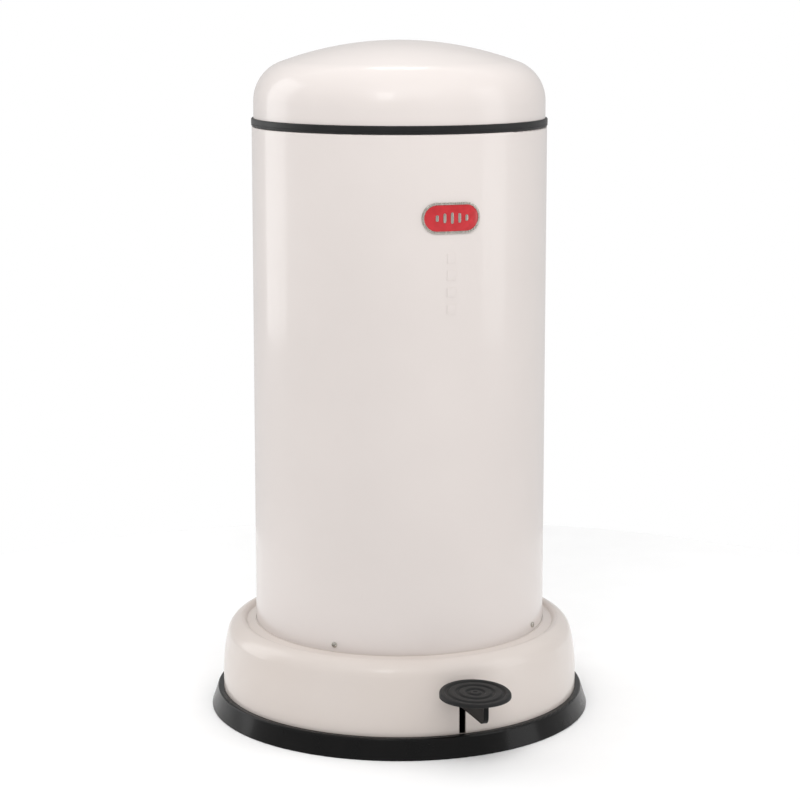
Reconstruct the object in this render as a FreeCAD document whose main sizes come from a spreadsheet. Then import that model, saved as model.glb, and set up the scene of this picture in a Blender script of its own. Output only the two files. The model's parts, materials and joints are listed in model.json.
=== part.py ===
import FreeCAD, Part
import math
import os
import re
import Sketcher

# Pedal bin: round steel tube on a flared base, domed lid on a rear hinge,
# pedal lever and lift rod inside, loose bucket with a bail.
# Millimetres, +Z up, the pedal points to -Y, origin on the floor under the tube's axis.

os.makedirs("parts", exist_ok=True)
doc = FreeCAD.newDocument("PedalBin")
sheet = doc.addObject("Spreadsheet::Sheet", "Sizes")

sizes = [
    ("tube_radius", 150.0, "outside of the body tube"),
    ("tube_wall", 0.8, "sheet of the body tube"),
    ("ledge_drop", 4.6, "tube's ledge under the crest's circle"),
    ("tube_top", 604.8, "height of the tube's folded top edge"),
    ("hem_depth", 6.0, "length of the fold inside the top edge"),
    ("pip_side", 9.0, "side of one embossed square on the front"),
    ("pip_drop", 168.8, "lowest embossed square under the tube's top"),
    ("pip_pitch", 16.5, "distance between embossed squares"),
    ("badge_drop", 80.1, "badge's middle under the tube's top"),
    ("badge_half", 15.0, "half height of the badge"),
    ("badge_reach", 30.0, "half width of the badge"),
    ("badge_border", 2.4, "width of the badge's metal border"),
    ("lid_gap", 0.3, "gap between the tube's top edge and the seal"),
    ("seal_out", 0.5, "how far the seal stands out of the tube"),
    ("seal_tall", 8.5, "height of the edge seal"),
    ("seal_web", 2.4, "rubber under the lid's rim"),
    ("skirt_inset", 1.8, "lid skirt inside the tube's outline"),
    ("skirt_rise", 25.2, "start of the lid's shoulder above the tube's top"),
    ("shoulder_radius", 42.1, "radius of the lid's shoulder"),
    ("dome_radius", 348.0, "radius of the lid's crown"),
    ("lid_wall", 0.8, "sheet of the lid"),
    ("crest_out", 10.3, "centre of the crest's circle outside the tube"),
    ("crest_height", 93.5, "top of the crest's circle"),
    ("crest_round", 19.9, "radius of the crest's circle"),
    ("crest_inner", 5.0, "rounding from the crest down to the crease"),
    ("crest_turn", 13.5, "angle where the crest's rounding meets the wall's"),
    ("wall_height", 36.5, "height where the cover's wall is upright"),
    ("cover_wall", 2.0, "thickness of the cover"),
    ("cover_foot", 8.5, "height of the cover's lower edge"),
    ("collar_out", 1.3, "how far the cover's collar stands out of the tube"),
    ("collar_rise", -0.6, "collar against the crest's circle"),
    ("ring_lip", 20.5, "height of the floor ring's lip"),
    ("ring_flare", 12.3, "how far the floor ring stands out of the cover"),
    ("plate_low", 4.0, "underside of the base plate"),
    ("plate_thick", 1.5, "thickness of the base plate"),
    ("pan_thick", 1.5, "sheet of the bucket pan"),
    ("pan_flange", 20.0, "height of the pan's upturned edge"),
    ("screw_rise", 10.2, "tube screws above the ledge"),
    ("screw_head", 2.9, "radius of a tube screw's head"),
    ("pivot_back", 60.0, "pedal pivot in front of the axis"),
    ("pivot_height", 40.0, "height of the pedal pivot"),
    ("shaft_radius", 4.0, "radius of the pedal shaft"),
    ("run_fit", 0.05, "radial clearance of a turning or sliding fit"),
    ("arm_thick", 5.0, "thickness of the pedal arm"),
    ("arm_low", 48.2, "underside of the arm outside the cover"),
    ("arm_high", 67.2, "top of the arm outside the cover"),
    ("arm_reach", 62.2, "how far the arm stands out of the cover"),
    ("slot_side", 1.0, "gap on each side of the arm in the cover's slot"),
    ("pad_radius", 34.9, "radius of the pedal pad"),
    ("pad_tall", 5.5, "height of the pedal pad"),
    ("pad_gap", 1.4, "gap between pad and cover"),
    ("plate_inset", 2.8, "rubber around the pad's steel plate"),
    ("rod_radius", 3.0, "radius of the lift rod"),
    ("foot_height", 28.0, "height of the rod's lower pin at rest"),
    ("link_pin", 2.5, "radius of the two link pins"),
    ("hinge_behind", 8.0, "hinge axis behind the tube"),
    ("hinge_rise", 8.2, "hinge axis above the tube's top"),
    ("hinge_pin", 3.0, "radius of the hinge pin"),
    ("crank_length", 27.0, "crank pin from the hinge axis"),
    ("crank_drop", 40.0, "crank below level when the lid is shut"),
    ("link_play", 0.9, "play of the crank pin in its slot"),
    ("bucket_room", 28.5, "bucket's wall inside the tube"),
    ("bucket_wall", 0.7, "sheet of the bucket"),
    ("bucket_below", 84.8, "bucket's rim under the tube's top"),
    ("rim_out", 3.0, "how far the bucket's rim stands out"),
    ("ear_drop", 20.0, "bail pivot under the bucket's rim"),
    ("bail_wire", 2.0, "radius of the bail's wire"),
    ("bail_out", 8.5, "bail's half ring outside the bucket"),
    ("bail_bend", 4.0, "bend of the bail's ends"),
    ("grip_radius", 7.0, "radius of the bail's grip"),
]
derived = [
    ("tube_foot", "=crest_height - ledge_drop", "height of the ledge the tube stands on"),
    ("pip_low", "=tube_top - pip_drop", "height of the lowest embossed square"),
    ("badge_height", "=tube_top - badge_drop", "height of the badge's middle"),
    ("skirt_top", "=tube_top + skirt_rise", "height where the lid's shoulder starts"),
    ("crest_radius", "=tube_radius + crest_out", "centre of the crest's circle"),
    ("collar_top", "=crest_height + collar_rise", "height of the cover's collar"),
    ("screw_height", "=tube_foot + screw_rise", "height of the tube's screws"),
    ("hinge_back", "=tube_radius + hinge_behind", "hinge axis behind the bin's axis"),
    ("hinge_height", "=tube_top + hinge_rise", "height of the hinge axis"),
    ("bucket_radius", "=tube_radius - bucket_room", "outside of the bucket"),
    ("rim_height", "=tube_top - bucket_below", "height of the bucket's rim"),
    ("seal_radius", "=tube_radius + seal_out", "outside of the edge seal"),
    ("seal_low", "=tube_top + lid_gap", "underside of the edge seal"),
    ("seal_high", "=seal_low + seal_tall", "top of the edge seal"),
    ("rim_low", "=seal_low + seal_web", "lower rim of the lid's sheet"),
    ("skirt_radius", "=tube_radius - skirt_inset", "outside of the lid's skirt"),
    ("round_axis", "=skirt_radius - shoulder_radius", "centre of the shoulder's rounding"),
    ("round_fall", "=sqrt((dome_radius - shoulder_radius)^2 - round_axis^2)", "crown centre under it"),
    ("dome_centre", "=skirt_top - round_fall", "height of the crown's centre"),
    ("join_across", "=round_axis / (dome_radius - shoulder_radius)", "crown joint, across"),
    ("join_up", "=round_fall / (dome_radius - shoulder_radius)", "crown joint, up"),
    ("crest_centre", "=crest_height - crest_round", "centre of the crest's rounding"),
    ("bend_radius", "=crest_radius + crest_round * cos(crest_turn)", "crest's joint, radius"),
    ("bend_height", "=crest_centre + crest_round * sin(crest_turn)", "crest's joint, height"),
    ("flank_round", "=(bend_height - wall_height) / sin(crest_turn)", "rounding of the wall"),
    ("flank_centre", "=bend_radius - flank_round * cos(crest_turn)", "its centre"),
    ("wall_radius", "=flank_centre + flank_round", "outside of the cover's wall"),
    ("ring_radius", "=wall_radius + ring_flare", "widest radius of the floor ring"),
    ("plate_radius", "=wall_radius - cover_wall - 0.8", "radius of the base plate"),
    ("plate_high", "=plate_low + plate_thick", "top of the base plate"),
    ("pan_radius", "=tube_radius - tube_wall - 0.2", "outside of the pan's edge"),
    ("pan_high", "=tube_foot + pan_thick", "top of the pan"),
    ("pad_centre", "=wall_radius - 1.6 + pad_gap + pad_radius - 1", "pad's middle from the axis"),
    ("arm_end", "=wall_radius + arm_reach", "outer end of the arm"),
    ("crank_out", "=crank_length * cos(crank_drop)", "crank pin in front of the hinge"),
    ("crank_fall", "=crank_length * sin(crank_drop)", "crank pin under the hinge"),
    ("rod_back", "=hinge_back - (crank_length + crank_out) / 2", "lift rod behind the axis"),
    ("crank_height", "=hinge_height - crank_fall", "height of the crank pin, lid shut"),
    ("rod_top", "=crank_height - 16", "top of the lift rod"),
    ("foot_top", "=foot_height + 12", "lower end of the lift rod"),
    ("ear_height", "=rim_height - ear_drop", "height of the bail's pivot"),
    ("bail_radius", "=bucket_radius + bail_out", "radius of the bail's half ring"),
]
row = 0
for name, number, note in sizes + derived:
    row = row + 1
    sheet.set("A%d" % row, name)
    sheet.set("B%d" % row, str(number))
    sheet.set("C%d" % row, note)
    sheet.setAlias("B%d" % row, name)
doc.recompute()


def bound(text):
    # a size's name becomes a reference to the sheet
    return re.sub(r"[a-z]+(?:_[a-z]+)+", lambda found: "Sizes." + found.group(0), str(text))


def number(text):
    return float(sheet.evalExpression(bound(text)))


def bind(thing, field, text):
    thing.setExpression(field, bound(text))


def newBody(label):
    body = doc.addObject("PartDesign::Body", label)
    body.Label = label
    return body


def originOf(body, role):
    for feature in body.Origin.OriginFeatures:
        if feature.Role == role:
            return feature
    raise RuntimeError("no " + role)


def newSketch(body, plane, label, along="0", up="0", spin=0.0):
    # along moves the plane on its normal, up moves it on its own Y, spin turns it about its own Y
    sketch = body.newObject("Sketcher::SketchObject", label)
    sketch.AttachmentSupport = [(originOf(body, plane), "")]
    sketch.MapMode = "FlatFace"
    turn = FreeCAD.Rotation(FreeCAD.Vector(0, 1, 0), spin)
    sketch.AttachmentOffset = FreeCAD.Placement(FreeCAD.Vector(0, number(up), number(along)), turn)
    if along != "0":
        bind(sketch, "AttachmentOffset.Base.z", along)
    if up != "0":
        bind(sketch, "AttachmentOffset.Base.y", up)
    return sketch


def pin(sketch, kind, *rest):
    # one driving constraint bound to a size
    parts = list(rest)
    text = parts.pop()
    index = sketch.addConstraint(Sketcher.Constraint(kind, *parts, number(text)))
    sketch.setExpression("Constraints[%d]" % index, bound(text))


def outline(sketch, steps):
    # closed outline; a step is (x, y) for a line to the next point or
    # (x, y, radius, side) for an arc whose centre is left (+1) or right (-1) of travel
    spots = [FreeCAD.Vector(number(step[0]), number(step[1]), 0) for step in steps]
    ends = []
    count = len(steps)
    for index, step in enumerate(steps):
        start = spots[index]
        finish = spots[(index + 1) % count]
        if len(step) == 2:
            ends.append((sketch.addGeometry(Part.LineSegment(start, finish)), 1, 2))
            continue
        radius = number(step[2])
        chord = finish - start
        side = FreeCAD.Vector(-chord.y, chord.x, 0).normalize() * step[3]
        rise = math.sqrt(max(radius ** 2 - chord.Length ** 2 / 4, 0.0))
        centre = (start + finish) * 0.5 + side * rise
        first, last = (start, finish) if step[3] > 0 else (finish, start)
        low = math.atan2(first.y - centre.y, first.x - centre.x)
        high = math.atan2(last.y - centre.y, last.x - centre.x)
        circle = Part.Circle(centre, FreeCAD.Vector(0, 0, 1), radius)
        curve = sketch.addGeometry(Part.ArcOfCircle(circle, low, high))
        ends.append((curve, 1, 2) if step[3] > 0 else (curve, 2, 1))
        # a half circle is held by its centre, any other arc by its radius
        if abs(2 * radius - chord.Length) > 1e-6:
            pin(sketch, "Radius", curve, step[2])
        elif abs(chord.x) < 1e-6:
            pin(sketch, "DistanceX", -1, 1, curve, 3, step[0])
        else:
            pin(sketch, "DistanceY", -1, 1, curve, 3, step[1])
    for index, step in enumerate(steps):
        curve, head, tail = ends[index]
        before = ends[index - 1]
        sketch.addConstraint(Sketcher.Constraint("Coincident", before[0], before[2], curve, head))
        pin(sketch, "DistanceX", -1, 1, curve, head, step[0])
        pin(sketch, "DistanceY", -1, 1, curve, head, step[1])


def circle(sketch, across, up, radius):
    spot = FreeCAD.Vector(number(across), number(up), 0)
    curve = sketch.addGeometry(Part.Circle(spot, FreeCAD.Vector(0, 0, 1), number(radius)))
    pin(sketch, "Radius", curve, radius)
    pin(sketch, "DistanceX", -1, 1, curve, 3, across)
    pin(sketch, "DistanceY", -1, 1, curve, 3, up)


def feature(body, kind, sketch, label, field, size, both=False, back=False, axis=None):
    # one solid feature; a cut must take material away
    cuts = kind in ("Pocket", "Groove")
    before = body.Shape.Volume if cuts else 0.0
    step = body.newObject("PartDesign::" + kind, label)
    step.Profile = sketch
    if axis:
        step.ReferenceAxis = (sketch, [axis])
    bind(step, field, size)
    step.Midplane = both
    step.Reversed = back
    doc.recompute()
    if cuts and not body.Shape.Volume < before - 1e-6:
        raise RuntimeError(body.Label + " " + label + " took nothing away")
    return step


def pad(body, sketch, label, length, both=False, back=False):
    return feature(body, "Pad", sketch, label, "Length", length, both, back)


def pocket(body, sketch, label, length, both=False, back=False):
    return feature(body, "Pocket", sketch, label, "Length", length, both, back)


def revolve(body, sketch, label, angle="360", both=False, axis="V_Axis", kind="Revolution"):
    return feature(body, kind, sketch, label, "Angle", angle, both, False, axis)


def turned(label, steps, angle="360", both=False, plane="XZ_Plane"):
    # body of revolution about the bin's axis
    body = newBody(label)
    sketch = newSketch(body, plane, label + "_profile")
    outline(sketch, steps)
    revolve(body, sketch, label + "_turn", angle, both)
    return body


def radial(body, kind, label, height, spin, steps):
    # a pin or hole whose axis points out from the bin's axis, measured along +Y at spin 0
    sketch = newSketch(body, "YZ_Plane", label + "_profile", up=height, spin=spin)
    outline(sketch, steps)
    return revolve(body, sketch, label, axis="H_Axis", kind=kind)


def plateShape(label, steps, thick, holes=()):
    # flat plate standing in the plane x = 0, thick across it
    body = newBody(label)
    sketch = newSketch(body, "YZ_Plane", label + "_outline")
    outline(sketch, steps)
    for across, up, radius in holes:
        circle(sketch, across, up, radius)
    pad(body, sketch, label + "_plate", thick, both=True)
    return body


def cross(body, label, across, up, radius, length):
    # round bore along X through the body
    sketch = newSketch(body, "YZ_Plane", label + "_circle")
    circle(sketch, across, up, radius)
    return pocket(body, sketch, label, length, both=True)


def rod(label, axis, radius, length, spot):
    # plain cylinder; axis is the way it grows
    thing = doc.addObject("Part::Cylinder", label)
    thing.Label = label
    bind(thing, "Radius", radius)
    bind(thing, "Height", length)
    turn = FreeCAD.Rotation(FreeCAD.Vector(0, 0, 1), axis)
    thing.Placement = FreeCAD.Placement(FreeCAD.Vector(*[number(each) for each in spot]), turn)
    for letter, text in zip("xyz", spot):
        bind(thing, "Placement.Base." + letter, text)
    return thing


# ---- floor ring and base plate

ring = turned("base_ring", [
    ("plate_radius - 12", "0"),
    ("wall_radius + 1.7", "0"),
    ("wall_radius + 1.7", "ring_lip - 6.5"),
    ("wall_radius + 4.7", "ring_lip - 6.5"),
    ("ring_radius - 4", "0"),
    ("ring_radius - 1.1", "0", "1.1", 1),
    ("ring_radius", "1.1"),
    ("wall_radius + 6.5", "ring_lip - 2", "2", 1),
    ("wall_radius + 4.5", "ring_lip"),
    ("wall_radius + 0.3", "ring_lip"),
    ("wall_radius + 0.3", "cover_foot"),
    ("plate_radius + 0.3", "cover_foot"),
    ("plate_radius + 0.3", "plate_low"),
    ("plate_radius - 12", "plate_low"),
])
sketch = newSketch(ring, "XY_Plane", "ring_bores")
for turn in range(6):
    angle = "%d" % (60 * turn)
    circle(sketch, "(plate_radius - 6) * sin(%s)" % angle, "(plate_radius - 6) * cos(%s)" % angle, "1.8")
pocket(ring, sketch, "ring_holes", "plate_low", back=True)
sketch = newSketch(ring, "XY_Plane", "ring_sinks")
for turn in range(6):
    angle = "%d" % (60 * turn)
    circle(sketch, "(plate_radius - 6) * sin(%s)" % angle, "(plate_radius - 6) * cos(%s)" % angle, "3.8")
pocket(ring, sketch, "ring_counterbores", "2.4", back=True)

plate = turned("base_plate", [
    ("0", "plate_low"),
    ("plate_radius", "plate_low"),
    ("plate_radius", "plate_low + 9"),
    ("plate_radius - 1.8", "plate_low + 9"),
    ("plate_radius - 1.8", "plate_high"),
    ("0", "plate_high"),
])
sketch = newSketch(plate, "XY_Plane", "plate_bores")
for turn in range(6):
    angle = "%d" % (60 * turn)
    circle(sketch, "(plate_radius - 6) * sin(%s)" % angle, "(plate_radius - 6) * cos(%s)" % angle, "1.8")
for across in ("25", "-25"):
    for along in ("-pivot_back - 10", "-pivot_back + 10"):
        circle(sketch, across, along, "2")
pocket(plate, sketch, "plate_holes", "plate_high + 1", back=True)

screws = newBody("base_screws")
for part, radius, low, tall in (("heads", "3.5", "0.5", "1.9"), ("shanks", "1.8", "2.4", "plate_high - 2.4")):
    sketch = newSketch(screws, "XY_Plane", "base_" + part, along=low)
    for turn in range(6):
        angle = "%d" % (60 * turn)
        circle(sketch, "(plate_radius - 6) * sin(%s)" % angle, "(plate_radius - 6) * cos(%s)" % angle, radius)
    pad(screws, sketch, "base_screw_" + part, tall)

# ---- cover between ring and tube, with the pedal's slot

cover = turned("base_cover", [
    ("wall_radius - cover_wall", "cover_foot"),
    ("wall_radius", "cover_foot"),
    ("wall_radius", "wall_height", "flank_round", 1),
    ("bend_radius", "bend_height", "crest_round", 1),
    ("crest_radius + crest_round * cos(72)", "crest_centre + crest_round * sin(72)", "crest_inner", 1),
    ("crest_radius + (crest_round - crest_inner) * cos(72) + crest_inner * cos(150)",
     "crest_centre + (crest_round - crest_inner) * sin(72) + crest_inner * sin(150)"),
    ("crest_radius - 0.7", "crest_height - 4.3"),
    ("tube_radius + collar_out", "crest_height - 1.6"),
    ("tube_radius + collar_out", "collar_top"),
    ("tube_radius + 0.3", "collar_top"),
    ("tube_radius + 0.3", "tube_foot"),
    ("tube_radius - 10", "tube_foot"),
    ("tube_radius - 10", "tube_foot - cover_wall"),
    ("crest_radius - 1.6", "tube_foot - cover_wall"),
    ("crest_radius + (crest_round - cover_wall) * cos(72)", "crest_centre + (crest_round - cover_wall) * sin(72)",
     "crest_round - cover_wall", -1),
    ("bend_radius - cover_wall * cos(crest_turn)", "bend_height - cover_wall * sin(crest_turn)",
     "flank_round - cover_wall", -1),
    ("wall_radius - cover_wall", "wall_height"),
])
sketch = newSketch(cover, "XZ_Plane", "slot_outline")
outline(sketch, [
    ("-arm_thick / 2 - slot_side", "ring_lip"),
    ("arm_thick / 2 + slot_side", "ring_lip"),
    ("arm_thick / 2 + slot_side", "arm_high + 1.5"),
    ("-arm_thick / 2 - slot_side", "arm_high + 1.5"),
])
pocket(cover, sketch, "arm_slot", "wall_radius + 5", back=True)

# ---- bucket pan, held by the tube's screws

pan = turned("bucket_pan", [
    ("0", "tube_foot"),
    ("pan_radius", "tube_foot"),
    ("pan_radius", "tube_foot + pan_flange"),
    ("pan_radius - pan_thick", "tube_foot + pan_flange"),
    ("pan_radius - pan_thick", "pan_high"),
    ("0", "pan_high"),
])
sketch = newSketch(pan, "XY_Plane", "guide_circle", along="tube_foot")
circle(sketch, "0", "rod_back", "5")
pocket(pan, sketch, "guide_hole", "pan_thick + 1", back=True)
for spin in (45, 135, 225, 315):
    radial(pan, "Groove", "screw_bore_%d" % spin, "screw_height", spin, [
        ("pan_radius - 4", "0"), ("pan_radius + 1", "0"), ("pan_radius + 1", "1.5"), ("pan_radius - 4", "1.5")])

# ---- body tube with its folded edge

tube = turned("body_tube", [
    ("tube_radius - tube_wall", "tube_foot"),
    ("tube_radius", "tube_foot"),
    ("tube_radius", "tube_top - 1.5", "1.5", 1),
    ("tube_radius - 1.5", "tube_top"),
    ("tube_radius - 2.4", "tube_top", "1", 1),
    ("tube_radius - 3.4", "tube_top - 1"),
    ("tube_radius - 3.4", "tube_top - hem_depth"),
    ("tube_radius - 2.4", "tube_top - hem_depth"),
    ("tube_radius - 2.4", "tube_top - 1.5"),
    ("tube_radius - tube_wall", "tube_top - 1.5"),
])
sketch = newSketch(tube, "XZ_Plane", "pip_outlines", along="tube_radius - 0.4")
for turn in range(4):
    low = "pip_low + pip_pitch * %d" % turn
    outline(sketch, [
        ("-pip_side / 2", low + " - pip_side / 2"), ("pip_side / 2", low + " - pip_side / 2"),
        ("pip_side / 2", low + " + pip_side / 2"), ("-pip_side / 2", low + " + pip_side / 2")])
pad(tube, sketch, "pips", "0.85")
sketch = newSketch(tube, "XY_Plane", "crank_notch_outline", along="crank_height - 2")
outline(sketch, [("-5", "tube_radius - 20"), ("5", "tube_radius - 20"), ("5", "tube_radius + 5"),
                 ("-5", "tube_radius + 5")])
pocket(tube, sketch, "crank_notch", "40", back=True)
for spin in (45, 135, 225, 315):
    radial(tube, "Groove", "screw_hole_%d" % spin, "screw_height", spin, [
        ("tube_radius - 3", "0"), ("tube_radius + 3", "0"), ("tube_radius + 3", "1.7"), ("tube_radius - 3", "1.7")])
rivetSpots = [("hinge_%d_%d" % (spin, level), "hinge_height - %d" % level, spin) for spin in (-7, 7) for level in (25, 42)]
rivetSpots = rivetSpots + [("guide_%d" % spin, "hinge_height - 66", spin) for spin in (-4, 4)]
for label, height, spin in rivetSpots:
    radial(tube, "Groove", "rivet_hole_" + label.replace("-", "m"), height, spin, [
        ("tube_radius - 3", "0"), ("tube_radius + 3", "0"), ("tube_radius + 3", "1.6"), ("tube_radius - 3", "1.6")])

screws = newBody("tube_screws")
for spin in (45, 135, 225, 315):
    radial(screws, "Revolution", "tube_screw_%d" % spin, "screw_height", spin, [
        ("tube_radius - 6", "0"),
        ("tube_radius + 2.1", "0"),
        ("tube_radius + 2.1", "screw_head - 1.4", "1.4", 1),
        ("tube_radius + 0.7", "screw_head"),
        ("tube_radius + 0.05", "screw_head"),
        ("tube_radius + 0.05", "1.5"),
        ("tube_radius - 6", "1.5")])

# ---- badge on the front: metal border around a coloured field

for label, edge, low, high in (("badge_frame", "0", "0", "1.8"), ("badge_inlay", "badge_border", "0", "1.1")):
    badge = turned(label, [
        ("-tube_radius - " + high, "badge_height - badge_half - 4"),
        ("-tube_radius - " + low, "badge_height - badge_half - 4"),
        ("-tube_radius - " + low, "badge_height + badge_half + 4"),
        ("-tube_radius - " + high, "badge_height + badge_half + 4")], "34", True, "YZ_Plane")
    sketch = newSketch(badge, "XZ_Plane", label + "_trim")
    outline(sketch, [("-60", "badge_height - 50"), ("60", "badge_height - 50"), ("60", "badge_height + 50"),
                     ("-60", "badge_height + 50")])
    flat = "badge_reach - badge_half"
    curl = "badge_half - " + edge
    outline(sketch, [
        ("-(%s)" % flat, "badge_height - (%s)" % curl), (flat, "badge_height - (%s)" % curl, curl, 1),
        (flat, "badge_height + (%s)" % curl), ("-(%s)" % flat, "badge_height + (%s)" % curl, curl, 1)])
    pocket(badge, sketch, label + "_edge", "tube_radius + 10", back=True)
    if label == "badge_frame":
        sketch = newSketch(badge, "XZ_Plane", "badge_opening")
        curl = "badge_half - badge_border"
        outline(sketch, [
            ("-(%s)" % flat, "badge_height - (%s)" % curl), (flat, "badge_height - (%s)" % curl, curl, 1),
            (flat, "badge_height + (%s)" % curl), ("-(%s)" % flat, "badge_height + (%s)" % curl, curl, 1)])
        pocket(badge, sketch, "badge_window", "tube_radius + 10", back=True)

# ---- pedal pivot on the base plate

bracket = newBody("pivot_bracket")
sketch = newSketch(bracket, "YZ_Plane", "bracket_cheek")
outline(sketch, [
    ("-pivot_back - 16", "plate_high"), ("-pivot_back + 16", "plate_high"),
    ("-pivot_back + 16", "plate_high + 6"), ("-pivot_back + 9", "pivot_height", "9", 1),
    ("-pivot_back - 9", "pivot_height"), ("-pivot_back - 16", "plate_high + 6")])
circle(sketch, "-pivot_back", "pivot_height", "shaft_radius")
pad(bracket, sketch, "bracket_block", "37", both=True)
sketch = newSketch(bracket, "YZ_Plane", "bracket_gap_outline")
outline(sketch, [
    ("-pivot_back - 20", "plate_high + 2"), ("-pivot_back + 20", "plate_high + 2"),
    ("-pivot_back + 20", "pivot_height + 20"), ("-pivot_back - 20", "pivot_height + 20")])
pocket(bracket, sketch, "bracket_gap", "32", both=True)
sketch = newSketch(bracket, "XY_Plane", "bracket_foot_outline", along="plate_high")
outline(sketch, [("-31", "-pivot_back - 16"), ("31", "-pivot_back - 16"), ("31", "-pivot_back + 16"),
                 ("-31", "-pivot_back + 16")])
for across in ("25", "-25"):
    for along in ("-pivot_back - 10", "-pivot_back + 10"):
        circle(sketch, across, along, "2")
pad(bracket, sketch, "bracket_foot", "2")

screws = newBody("bracket_screws")
for part, radius, low, tall in (("shanks", "2", "plate_low", "plate_thick + 2"), ("heads", "3.8", "plate_high + 2", "2.2")):
    sketch = newSketch(screws, "XY_Plane", "bracket_" + part, along=low)
    for across in ("25", "-25"):
        for along in ("-pivot_back - 10", "-pivot_back + 10"):
            circle(sketch, across, along, radius)
    pad(screws, sketch, "bracket_screw_" + part, tall)

alongX = FreeCAD.Vector(1, 0, 0)
upward = FreeCAD.Vector(0, 0, 1)
rod("pivot_shaft", alongX, "shaft_radius", "44", ("-22", "-pivot_back", "pivot_height"))
clips = newBody("shaft_clips")
for side in (1, -1):
    sketch = newSketch(clips, "YZ_Plane", "clip_circle_%s" % ("right" if side > 0 else "left"), along="%g" % (18.7 * side))
    circle(sketch, "-pivot_back", "pivot_height", "shaft_radius + 3")
    circle(sketch, "-pivot_back", "pivot_height", "shaft_radius")
    pad(clips, sketch, "clip_%s" % ("right" if side > 0 else "left"), "1.2", back=side < 0)

rod("rest_buffer", upward, "8", "foot_height - 7.7 - plate_high", ("0", "rod_back - 24", "plate_high"))
rod("press_buffer", upward, "8", "pivot_height - 12.6 - plate_high", ("0", "-pivot_back - 90", "plate_high"))

# ---- pedal lever, its hub, plate and pad

arm = plateShape("pedal_arm", [
    ("-arm_end + 8", "arm_low"), ("-wall_radius + 32", "arm_low"), ("-pivot_back", "pivot_height - 10"),
    ("rod_back + 9.5", "foot_height - 8.5"), ("rod_back + 9.5", "foot_height + 8.5"),
    ("-pivot_back", "pivot_height + 11"), ("-wall_radius + 32", "arm_high"), ("-arm_end", "arm_high"),
    ("-arm_end", "arm_low + 8", "8", 1)], "arm_thick",
    [("-pivot_back", "pivot_height", "shaft_radius + 3")])
sketch = newSketch(arm, "YZ_Plane", "link_slot_outline")
outline(sketch, [
    ("rod_back - 2", "foot_height - link_pin - 0.7"),
    ("rod_back + 2.8", "foot_height - link_pin - 0.7", "link_pin + 0.7", 1),
    ("rod_back + 2.8", "foot_height + link_pin + 0.7"),
    ("rod_back - 2", "foot_height + link_pin + 0.7", "link_pin + 0.7", 1)])
pocket(arm, sketch, "link_slot", "20", both=True)

hub = newBody("pedal_hub")
sketch = newSketch(hub, "YZ_Plane", "hub_circles")
circle(sketch, "-pivot_back", "pivot_height", "shaft_radius + 3")
circle(sketch, "-pivot_back", "pivot_height", "shaft_radius + run_fit")
pad(hub, sketch, "hub_tube", "31.4", both=True)

padPlate = rod("pad_plate", upward, "pad_radius - plate_inset", "2", ("0", "-pad_centre", "arm_high"))

rubber = newBody("pedal_pad")
sketch = newSketch(rubber, "XZ_Plane", "pad_profile")
top = "arm_high + 0.5 + pad_tall"
steps = [
    ("0", "arm_high + 2"), ("pad_radius - plate_inset", "arm_high + 2"),
    ("pad_radius - plate_inset", "arm_high + 0.5"), ("pad_radius", "arm_high + 0.5"),
    ("pad_radius", top + " - 2.2", "2.2", 1), ("pad_radius - 2.2", top)]
for share in (0.8, 0.5, 0.25):
    steps = steps + [
        ("pad_radius * %g + 1.6" % share, top), ("pad_radius * %g + 0.8" % share, top + " - 1.3"),
        ("pad_radius * %g - 0.8" % share, top + " - 1.3"), ("pad_radius * %g - 1.6" % share, top)]
steps = steps + [("0", top)]
outline(sketch, steps)
revolve(rubber, sketch, "pad_turn")
sketch = newSketch(rubber, "XY_Plane", "pad_screw_bores", along="arm_high + 2")
circle(sketch, "16", "0", "1.5")
circle(sketch, "-16", "0", "1.5")
pocket(rubber, sketch, "pad_screw_holes", "1.5", back=True)
bind(rubber, "Placement.Base.y", "-pad_centre")

screwPair = newBody("pad_screws")
for part, radius, low, tall in (("heads", "3", "arm_high - 1.6", "1.6"), ("shanks", "1.5", "arm_high", "3.5")):
    sketch = newSketch(screwPair, "XY_Plane", "pad_" + part, along=low)
    circle(sketch, "16", "-pad_centre", radius)
    circle(sketch, "-16", "-pad_centre", radius)
    pad(screwPair, sketch, "pad_screw_" + part, tall)

# ---- lift rod with its foot fork and head fork

rod("lift_rod", upward, "rod_radius", "rod_top - foot_top", ("0", "rod_back", "foot_top"))

foot = plateShape("rod_foot", [
    ("rod_back - 7", "foot_height - 6"), ("rod_back + 7", "foot_height - 6"), ("rod_back + 7", "foot_height + 17"),
    ("rod_back - 7", "foot_height + 17")], "11")
sketch = newSketch(foot, "YZ_Plane", "foot_gap_outline")
outline(sketch, [
    ("rod_back - 12", "foot_height - 12"), ("rod_back + 12", "foot_height - 12"),
    ("rod_back + 12", "foot_height + 12"), ("rod_back - 12", "foot_height + 12")])
pocket(foot, sketch, "foot_gap", "arm_thick + 1", both=True)
cross(foot, "foot_bore", "rod_back", "foot_height", "link_pin", "30")
sketch = newSketch(foot, "XY_Plane", "foot_socket_circle", along="foot_height + 10")
circle(sketch, "0", "rod_back", "rod_radius")
pocket(foot, sketch, "foot_socket", "30", back=True)


def headedPin(label, radius, across, up, half):
    # pin along X with a flat head on each end
    body = newBody(label)
    for part, size, length in (("shank", radius, "2 * (%s)" % half),):
        sketch = newSketch(body, "YZ_Plane", label + "_" + part)
        circle(sketch, across, up, size)
        pad(body, sketch, label + "_body", length, both=True)
    for side in (1, -1):
        name = "right" if side > 0 else "left"
        sketch = newSketch(body, "YZ_Plane", label + "_head_" + name, along="%d * (%s)" % (side, half))
        circle(sketch, across, up, radius + " + 1.2")
        pad(body, sketch, label + "_cap_" + name, "1.2", back=side < 0)
    return body


headedPin("foot_pin", "link_pin", "rod_back", "foot_height", "5.6")

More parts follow.
